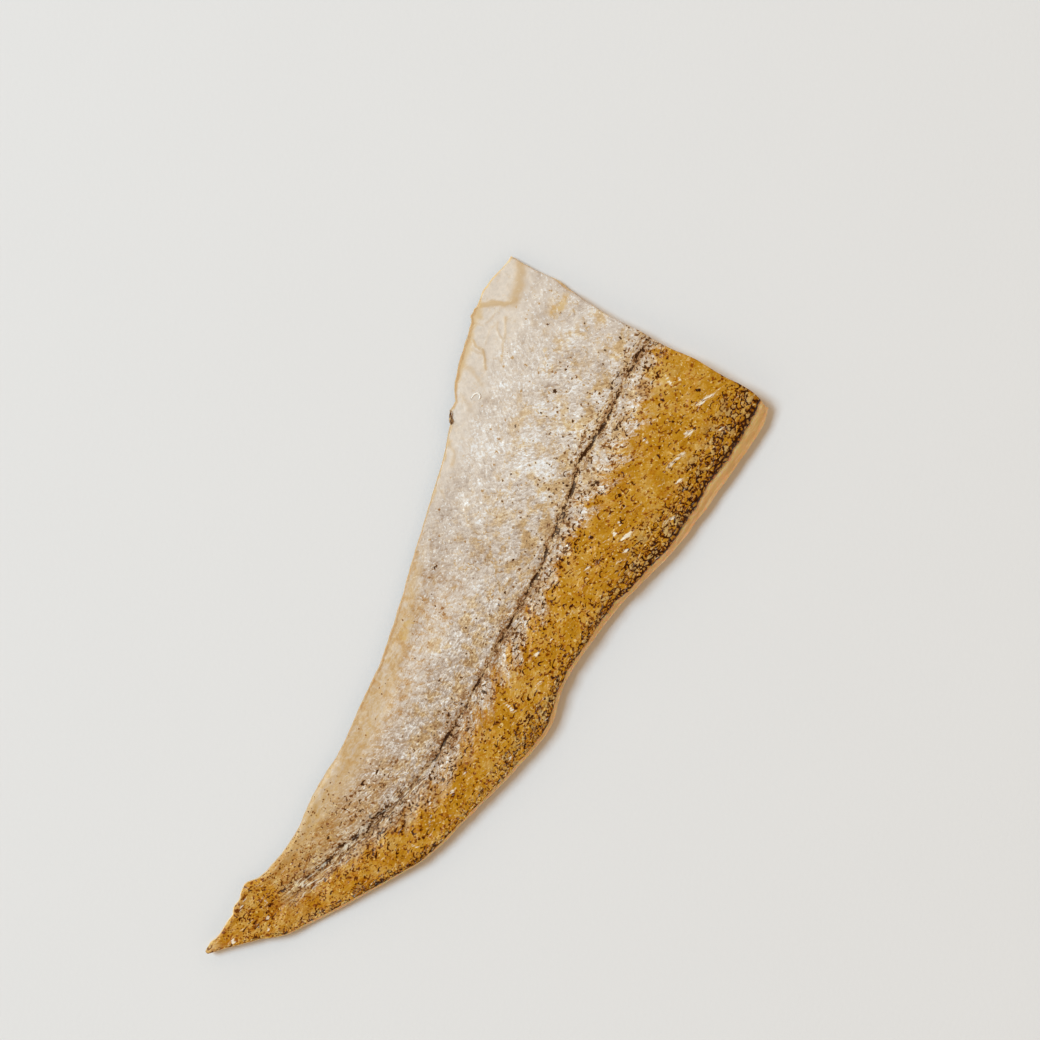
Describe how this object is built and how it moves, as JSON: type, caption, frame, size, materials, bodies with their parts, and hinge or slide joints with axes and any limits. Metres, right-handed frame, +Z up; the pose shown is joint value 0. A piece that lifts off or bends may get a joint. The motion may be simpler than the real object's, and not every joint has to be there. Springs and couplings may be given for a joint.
{
  "type": "dried cod fillet",
  "caption": "Dried cod: the tail end of a fillet, cut straight across, lying skin side up, thin at the belly and thick along the back.",
  "frame": {"origin": "middle of the bounding box at its base, on the surface the fillet lies on", "axes": "+X along the fish from the tail tip to the cut end, +Y across it towards the belly edge, +Z up out of the skin"},
  "size_m": [0.1964, 0.0808, 0.0064],
  "materials": {
    "skin": "satin dried fish skin, silver over gold, with a dark scale net along the back",
    "flesh": "translucent amber dried flesh"
  },
  "bodies": {
    "root": {"cod_fillet": "skin"}
  },
  "joints": []
}
